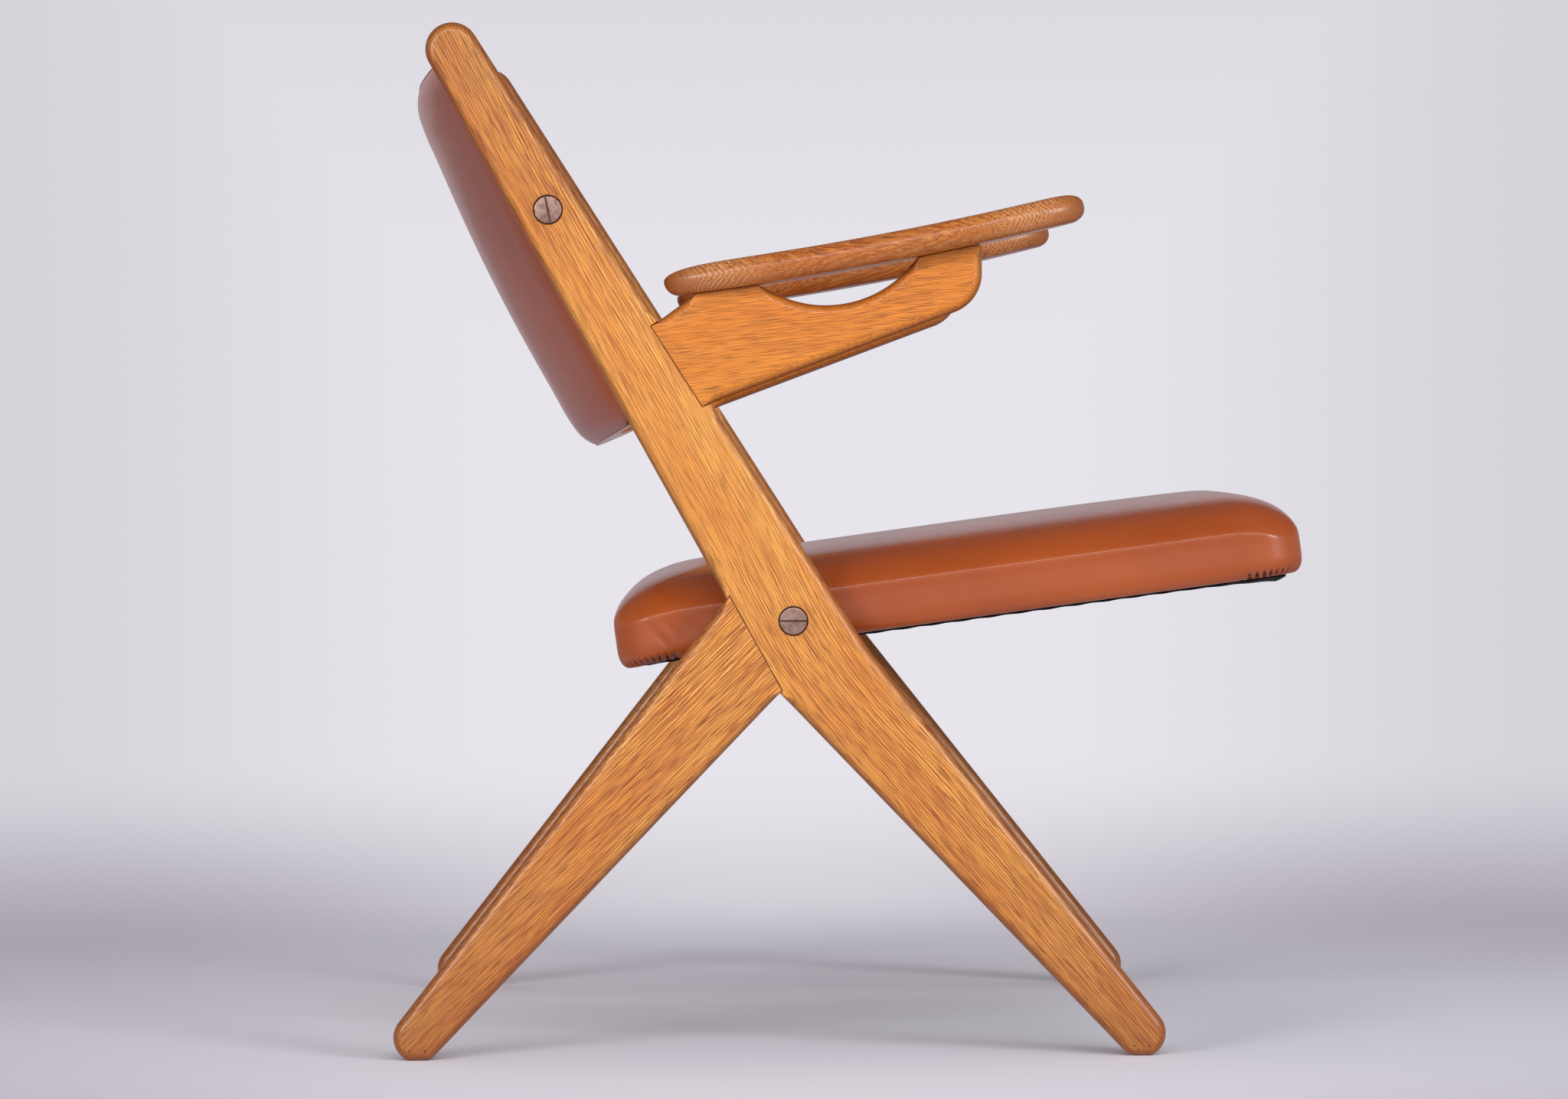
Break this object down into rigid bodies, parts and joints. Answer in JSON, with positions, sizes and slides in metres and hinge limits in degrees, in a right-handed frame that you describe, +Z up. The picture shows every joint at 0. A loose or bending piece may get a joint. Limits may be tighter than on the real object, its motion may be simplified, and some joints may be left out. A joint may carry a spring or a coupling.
{
  "type": "lounge armchair",
  "caption": "Lounge armchair with crossed oak side frames, paddle arms, a padded leather seat and a bowed padded leather backrest that tilts on its side bolts.",
  "frame": {"origin": "on the floor, under the middle of the chair's length and width", "axes": "+X towards the front of the chair, +Y towards the sitter's left, +Z up"},
  "size_m": [0.6906, 0.6482, 0.7799],
  "materials": {
    "oak": "oiled oak, satin",
    "beech": "plain beech",
    "plywood": "bent plywood",
    "leather": "smooth cognac leather, half gloss",
    "foam": "upholstery foam",
    "webbing": "woven webbing",
    "black_cloth": "thin black cloth",
    "bronze": "aged bronze",
    "steel": "plain steel"
  },
  "bodies": {
    "frame": {"right_upright_leg": "oak", "right_rear_leg": "oak", "right_arm_bracket": "oak", "right_arm_paddle": "oak", "right_rear_leg_dowel_lower": "beech", "right_rear_leg_dowel_upper": "beech", "right_bracket_dowel_lower": "beech", "right_bracket_dowel_upper": "beech", "right_paddle_dowel_rear": "beech", "right_paddle_dowel_front": "beech", "right_seat_bolt": "bronze", "right_seat_washer": "bronze", "right_seat_tnut": "steel", "right_seat_pin": "steel", "right_back_bolt": "bronze", "right_back_washer": "bronze", "left_upright_leg": "oak", "left_rear_leg": "oak", "left_arm_bracket": "oak", "left_arm_paddle": "oak", "left_rear_leg_dowel_lower": "beech", "left_rear_leg_dowel_upper": "beech", "left_bracket_dowel_lower": "beech", "left_bracket_dowel_upper": "beech", "left_paddle_dowel_rear": "beech", "left_paddle_dowel_front": "beech", "left_seat_bolt": "bronze", "left_seat_washer": "bronze", "left_seat_tnut": "steel", "left_seat_pin": "steel", "left_back_bolt": "bronze", "left_back_washer": "bronze", "seat_front_rail": "beech", "seat_rear_rail": "beech", "seat_right_rail": "beech", "seat_left_rail": "beech", "seat_corner_block_front_right": "beech", "seat_corner_block_rear_right": "beech", "seat_corner_block_front_left": "beech", "seat_corner_block_rear_left": "beech", "seat_strap_1": "webbing", "seat_strap_2": "webbing", "seat_strap_3": "webbing", "seat_strap_4": "webbing", "seat_strap_5": "webbing", "seat_foam": "foam", "seat_cover": "leather", "seat_dust_cover": "black_cloth"},
    "backrest": {"back_panel": "plywood", "back_right_stile": "beech", "back_left_stile": "beech", "right_back_insert": "steel", "left_back_insert": "steel", "back_front_foam": "foam", "back_rear_foam": "foam", "back_front_cover": "leather", "back_rear_cover": "leather"}
  },
  "joints": [
    {"name": "backrest_tilt", "type": "hinge", "parent": "frame", "child": "backrest", "pos_m": [-0.22381, 0, 0.63878], "axis": [0, 1, 0], "range_deg": [-12, 12]}
  ]
}
